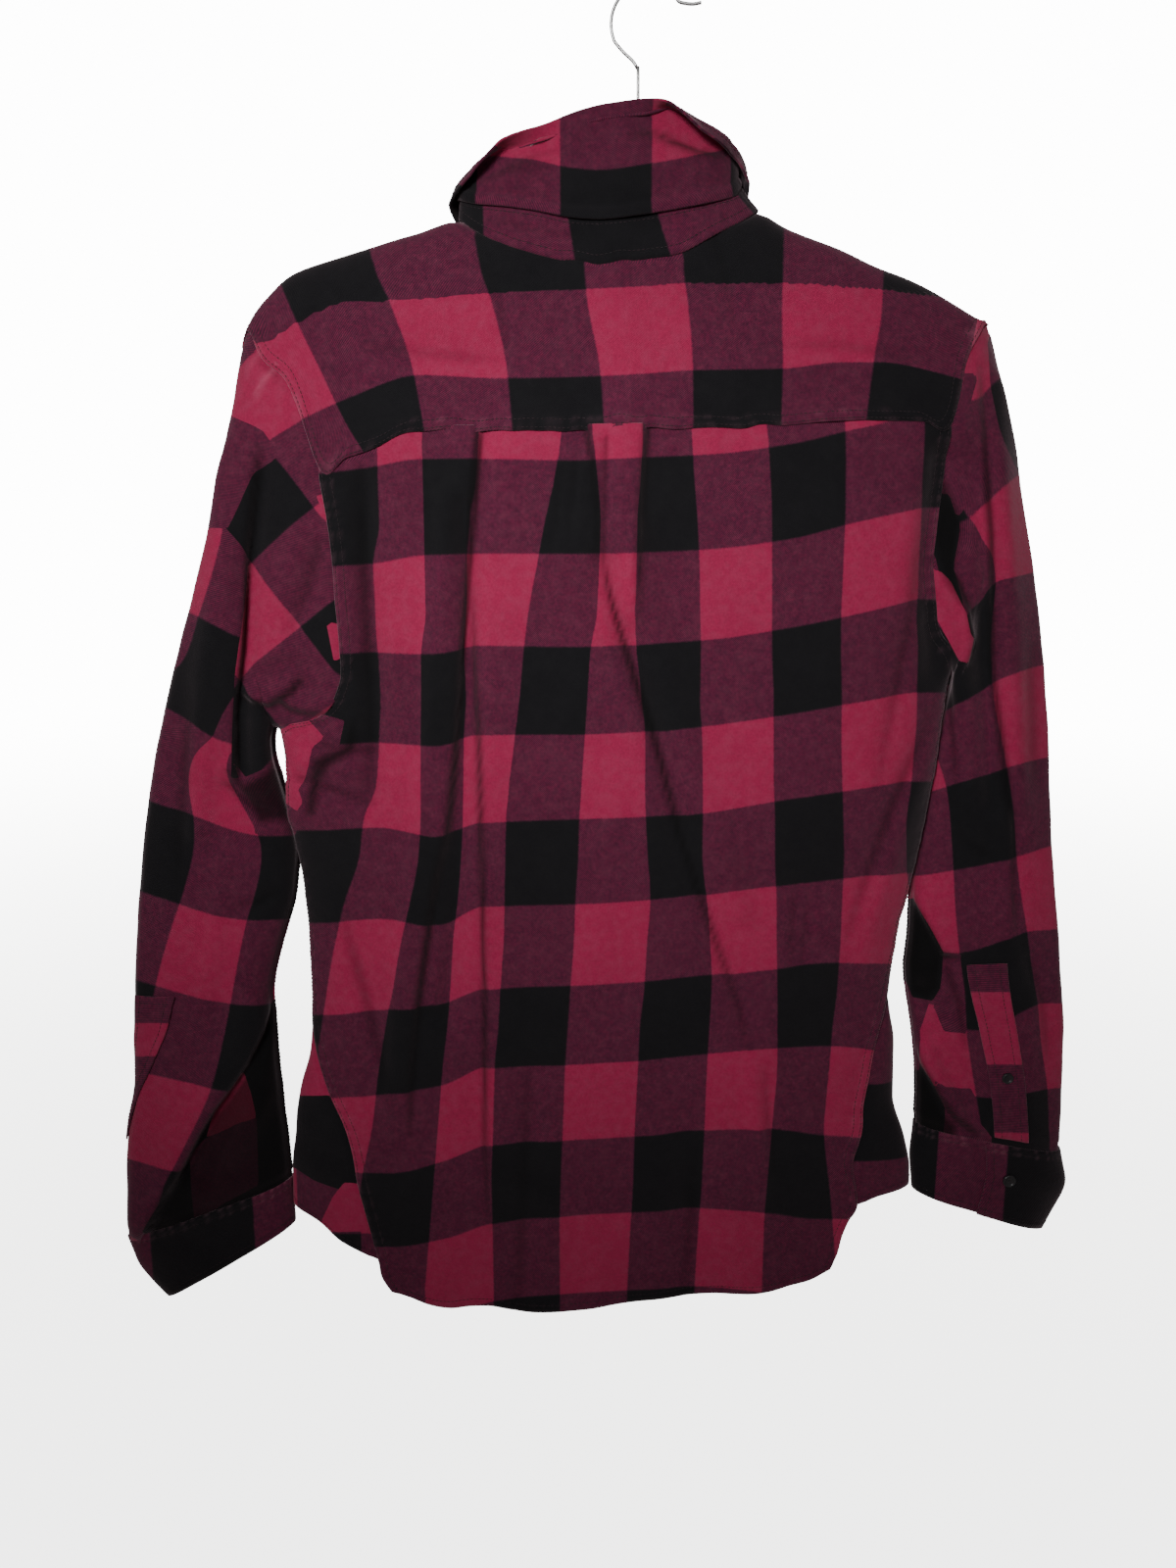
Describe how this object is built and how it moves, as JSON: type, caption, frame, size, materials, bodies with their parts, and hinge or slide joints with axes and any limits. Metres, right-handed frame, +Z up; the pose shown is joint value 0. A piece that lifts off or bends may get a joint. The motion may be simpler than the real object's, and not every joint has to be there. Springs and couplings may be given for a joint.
{
  "type": "flannel shirt on a hanger",
  "caption": "Long-sleeved button-front flannel shirt in a two-colour buffalo check, hanging empty and closed on a plain wire hanger",
  "frame": {"origin": "inside top of the hanger's hook, where a rod or hook carries it", "axes": "+Z up; the shirt's back faces -Y and its buttoned front +Y; +X is the wearer's right; the hanger's wire lies in the plane y = 0"},
  "size_m": [0.7519, 0.0706, 0.9599],
  "materials": {
    "flannel": "brushed cotton twill, crimson and black buffalo check with purple-maroon where they cross, matte with a soft nap",
    "flannel_collar": "the same brushed cotton in the same check, stiffened",
    "buttons": "near-black moulded buttons with a soft gloss",
    "wire": "drawn steel wire with a dull zinc finish"
  },
  "bodies": {
    "root": {"back_yoke": "flannel", "back": "flannel", "left_front": "flannel", "right_front": "flannel", "front_placket": "flannel", "collar_stand": "flannel_collar", "collar_leaf": "flannel_collar", "left_sleeve": "flannel", "right_sleeve": "flannel", "left_cuff": "flannel", "right_cuff": "flannel", "left_sleeve_placket": "flannel", "right_sleeve_placket": "flannel", "front_button_1": "buttons", "front_button_2": "buttons", "front_button_3": "buttons", "front_button_4": "buttons", "front_button_5": "buttons", "front_button_6": "buttons", "front_button_7": "buttons", "collar_button": "buttons", "left_cuff_button": "buttons", "right_cuff_button": "buttons", "left_placket_button": "buttons", "right_placket_button": "buttons", "hanger_wire": "wire"}
  },
  "joints": []
}
